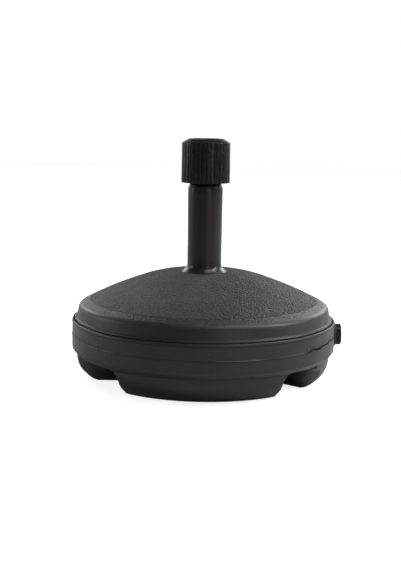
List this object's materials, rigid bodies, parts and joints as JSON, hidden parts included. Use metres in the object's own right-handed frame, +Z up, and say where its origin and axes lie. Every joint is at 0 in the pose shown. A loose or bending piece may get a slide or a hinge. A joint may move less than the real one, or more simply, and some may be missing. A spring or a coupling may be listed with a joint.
{
  "type": "parasol base",
  "caption": "Round fillable plastic parasol base: domed hollow tank on feet with hand recesses, side filler cap, socketed stem and ribbed pole-clamping nut.",
  "frame": {"origin": "centre of the base on the ground, on the axis of the stem", "axes": "+Z up along the stem, +X towards the filler cap, -Y towards the front long foot"},
  "size_m": [0.4113, 0.4008, 0.3606],
  "materials": {
    "tank_plastic": "anthracite, fine grain on the dome, satin elsewhere",
    "stem_plastic": "anthracite satin",
    "black_plastic": "black satin",
    "collet_plastic": "natural satin",
    "gasket_rubber": "soft black rubber"
  },
  "bodies": {
    "base": {"tank_shell": "tank_plastic"},
    "stem": {"stem_tube": "stem_plastic", "foot_bush": "black_plastic", "threaded_collar": "black_plastic", "split_collet": "collet_plastic"},
    "nut_carrier": {"thrust_ring": "collet_plastic"},
    "nut": {"clamp_nut": "black_plastic"},
    "reducer": {"reducer_sleeve": "black_plastic"},
    "gasket": {"filler_gasket": "gasket_rubber"},
    "cap": {"filler_cap": "black_plastic"}
  },
  "joints": [
    {"name": "nut_travel", "type": "slide", "parent": "stem", "child": "nut_carrier", "axis": [0, 0, 1], "range_m": [-0.003, 0.015]},
    {"name": "nut_turn", "type": "hinge", "parent": "nut_carrier", "child": "nut", "pos_m": [0, 0, 0.33], "axis": [0, 0, 1], "range_deg": [-216, 1080]},
    {"name": "reducer_lift", "type": "slide", "parent": "stem", "child": "reducer", "axis": [0, 0, 1], "range_m": [0, 0.12]},
    {"name": "stem_lift", "type": "slide", "parent": "base", "child": "stem", "axis": [0, 0, 1], "range_m": [0, 0.16]},
    {"name": "cap_travel", "type": "slide", "parent": "base", "child": "gasket", "axis": [1, 0, 0], "range_m": [0, 0.014]},
    {"name": "cap_turn", "type": "hinge", "parent": "gasket", "child": "cap", "pos_m": [0.205, 0, 0.0659], "axis": [1, 0, 0], "range_deg": [0, 1440]}
  ],
  "couplings": [
    {"joint": "nut_travel", "follows": "nut_turn", "m_per_rad": 0.00079577},
    {"joint": "cap_travel", "follows": "cap_turn", "m_per_rad": 0.00055704}
  ]
}
